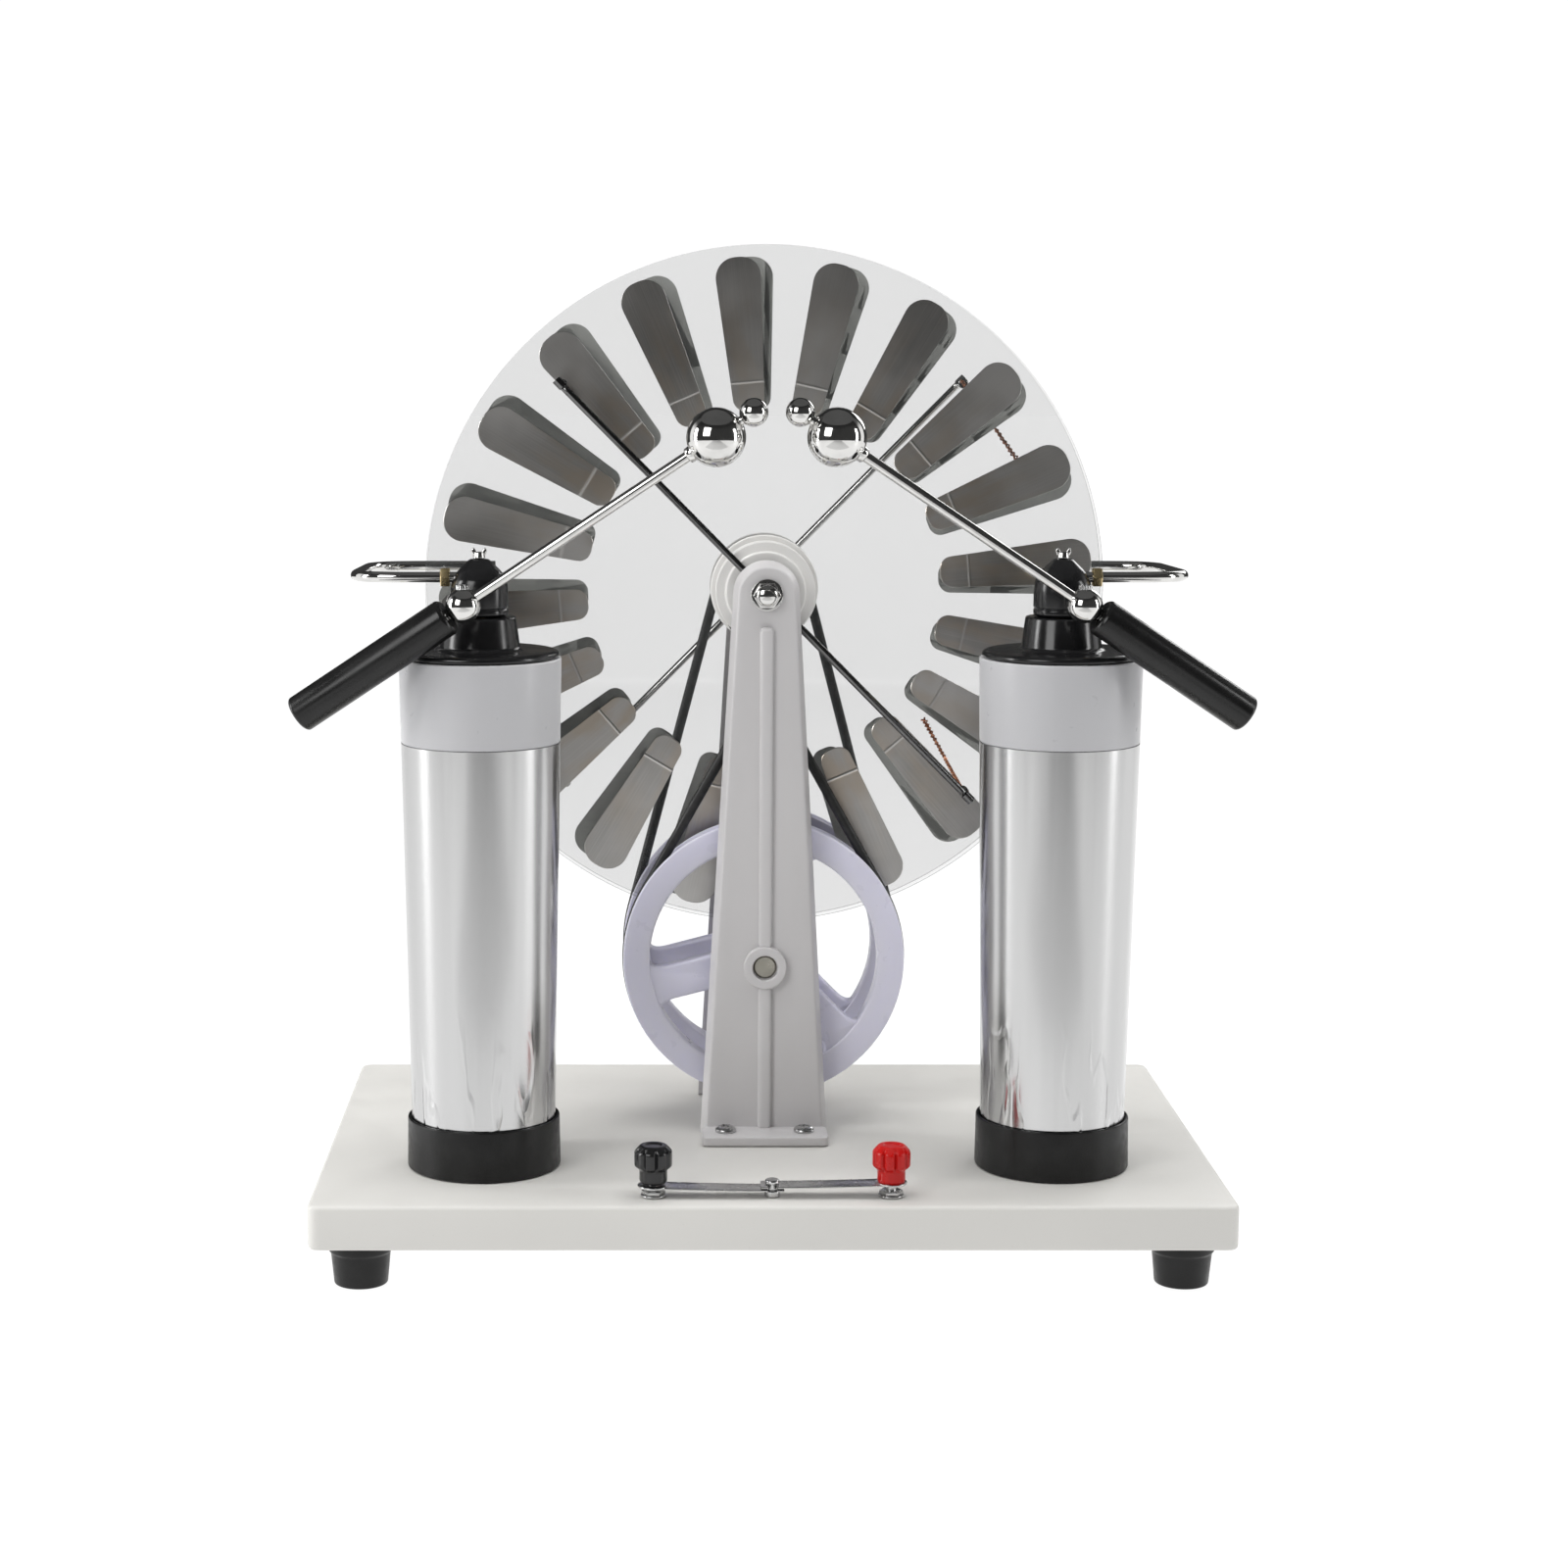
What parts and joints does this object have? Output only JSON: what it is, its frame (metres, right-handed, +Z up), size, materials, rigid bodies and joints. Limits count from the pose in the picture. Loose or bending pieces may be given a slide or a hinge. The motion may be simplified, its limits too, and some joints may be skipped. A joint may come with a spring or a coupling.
{
  "type": "wimshurst influence machine",
  "caption": "Hand-cranked electrostatic influence machine: twin contra-rotating sectored discs, belt drive, Leyden jars, collecting combs and spark dischargers on a board.",
  "frame": {"origin": "on the surface that the feet stand on, below the middle of the board", "axes": "+Z up, X along the board's length, -Y to the front, where the terminals and dischargers are"},
  "size_m": [0.3656, 0.22, 0.3934],
  "materials": {
    "board_paint": "satin light warm grey paint on fibreboard",
    "rubber": "matt black",
    "white_plastic": "satin white moulding",
    "wheel_plastic": "translucent bluish white",
    "disc_acrylic": "clear acrylic sheet with a faint grey tint",
    "jar_plastic": "translucent milky white",
    "foil": "bright rolled foil",
    "steel": "turned and plated steel",
    "chrome": "polished plating",
    "brass": "turned brass",
    "black_plastic": "black satin moulding",
    "red_plastic": "red moulding",
    "belt_rubber": "round black cord"
  },
  "bodies": {
    "frame": {"base_board": "board_paint", "foot_front_left": "rubber", "foot_front_right": "rubber", "front_upright": "white_plastic", "front_cap_nut": "chrome", "front_belt": "belt_rubber", "foot_rear_left": "rubber", "foot_rear_right": "rubber", "rear_upright": "white_plastic", "rear_cap_nut": "chrome", "rear_belt": "belt_rubber", "upper_axle": "steel", "left_jar_foot_ring": "rubber", "left_outer_foil": "foil", "left_jar_cup": "jar_plastic", "left_inner_foil": "foil", "left_contact_rod": "brass", "left_jar_lid": "black_plastic", "left_post": "black_plastic", "left_comb": "chrome", "left_comb_nut": "brass", "left_front_point": "brass", "right_jar_foot_ring": "rubber", "right_outer_foil": "foil", "right_jar_cup": "jar_plastic", "right_inner_foil": "foil", "right_contact_rod": "brass", "right_jar_lid": "black_plastic", "right_post": "black_plastic", "right_comb": "chrome", "right_comb_nut": "brass", "right_front_point": "brass", "black_terminal_stud": "steel", "red_terminal_stud": "steel", "link_stud": "steel"},
    "front_disc_turning": {"front_disc": "disc_acrylic", "front_pulley": "white_plastic"},
    "rear_disc_turning": {"rear_disc": "disc_acrylic", "rear_pulley": "white_plastic"},
    "drive_turning": {"drive_shaft": "steel", "front_drive_wheel": "wheel_plastic", "rear_drive_wheel": "wheel_plastic", "crank_arm": "steel"},
    "crank_grip_turning": {"crank_grip": "black_plastic"},
    "front_neutraliser_swing": {"front_neutraliser": "chrome"},
    "rear_neutraliser_swing": {"rear_neutraliser": "chrome"},
    "left_discharger": {"left_pivot_ball": "chrome", "left_discharger_rod": "chrome", "left_spark_balls": "chrome", "left_discharger_handle": "black_plastic"},
    "right_discharger": {"right_pivot_ball": "chrome", "right_discharger_rod": "chrome", "right_spark_balls": "chrome", "right_discharger_handle": "black_plastic"},
    "left_wing_screw_turning": {"left_wing_screw": "chrome"},
    "right_wing_screw_turning": {"right_wing_screw": "chrome"},
    "black_cap_turning": {"black_terminal_cap": "black_plastic"},
    "red_cap_turning": {"red_terminal_cap": "red_plastic"},
    "left_link_swing": {"left_link_strip": "steel"},
    "right_link_swing": {"right_link_strip": "steel"}
  },
  "joints": [
    {"name": "front_disc_spin", "type": "hinge", "parent": "frame", "child": "front_disc_turning", "pos_m": [0, 0.025, 0.2557], "axis": [0, 1, 0], "continuous": true},
    {"name": "rear_disc_spin", "type": "hinge", "parent": "frame", "child": "rear_disc_turning", "pos_m": [0, 0.025, 0.2557], "axis": [0, 1, 0], "continuous": true},
    {"name": "drive_spin", "type": "hinge", "parent": "frame", "child": "drive_turning", "pos_m": [0, 0.025, 0.1056], "axis": [0, 1, 0], "continuous": true},
    {"name": "crank_grip_spin", "type": "hinge", "parent": "drive_turning", "child": "crank_grip_turning", "pos_m": [0, 0.09, 0.0636], "axis": [0, 1, 0], "continuous": true},
    {"name": "front_neutraliser_turn", "type": "hinge", "parent": "frame", "child": "front_neutraliser_swing", "pos_m": [0, -0.001, 0.2557], "axis": [0, 1, 0], "range_deg": [-15, 15]},
    {"name": "rear_neutraliser_turn", "type": "hinge", "parent": "frame", "child": "rear_neutraliser_swing", "pos_m": [0, 0.051, 0.2557], "axis": [0, 1, 0], "range_deg": [-15, 15]},
    {"name": "left_discharger_tilt", "type": "hinge", "parent": "frame", "child": "left_discharger", "pos_m": [-0.11593, -0.08007, 0.2577], "axis": [-0.1478, -0.989, 0], "range_deg": [-2, 2.5]},
    {"name": "right_discharger_tilt", "type": "hinge", "parent": "frame", "child": "right_discharger", "pos_m": [0.11593, -0.08007, 0.2577], "axis": [-0.1478, 0.989, 0], "range_deg": [-2, 2.5]},
    {"name": "left_wing_screw_turn", "type": "hinge", "parent": "frame", "child": "left_wing_screw_turning", "pos_m": [-0.1115, -0.0504, 0.273], "axis": [0, 0, 1], "continuous": true},
    {"name": "right_wing_screw_turn", "type": "hinge", "parent": "frame", "child": "right_wing_screw_turning", "pos_m": [0.1115, -0.0504, 0.273], "axis": [0, 0, 1], "continuous": true},
    {"name": "black_cap_turn", "type": "hinge", "parent": "frame", "child": "black_cap_turning", "pos_m": [-0.045, -0.096, 0.047], "axis": [0, 0, 1], "continuous": true},
    {"name": "red_cap_turn", "type": "hinge", "parent": "frame", "child": "red_cap_turning", "pos_m": [0.045, -0.096, 0.047], "axis": [0, 0, 1], "continuous": true},
    {"name": "left_link_turn", "type": "hinge", "parent": "frame", "child": "left_link_swing", "pos_m": [-0.045, -0.096, 0.0383], "axis": [0, 0, 1], "range_deg": [0, 90]},
    {"name": "right_link_turn", "type": "hinge", "parent": "frame", "child": "right_link_swing", "pos_m": [0.045, -0.096, 0.0395], "axis": [0, 0, 1], "range_deg": [-90, 0]}
  ],
  "couplings": [
    {"joint": "rear_disc_spin", "follows": "front_disc_spin", "ratio": -1},
    {"joint": "drive_spin", "follows": "front_disc_spin", "ratio": -0.33932}
  ]
}
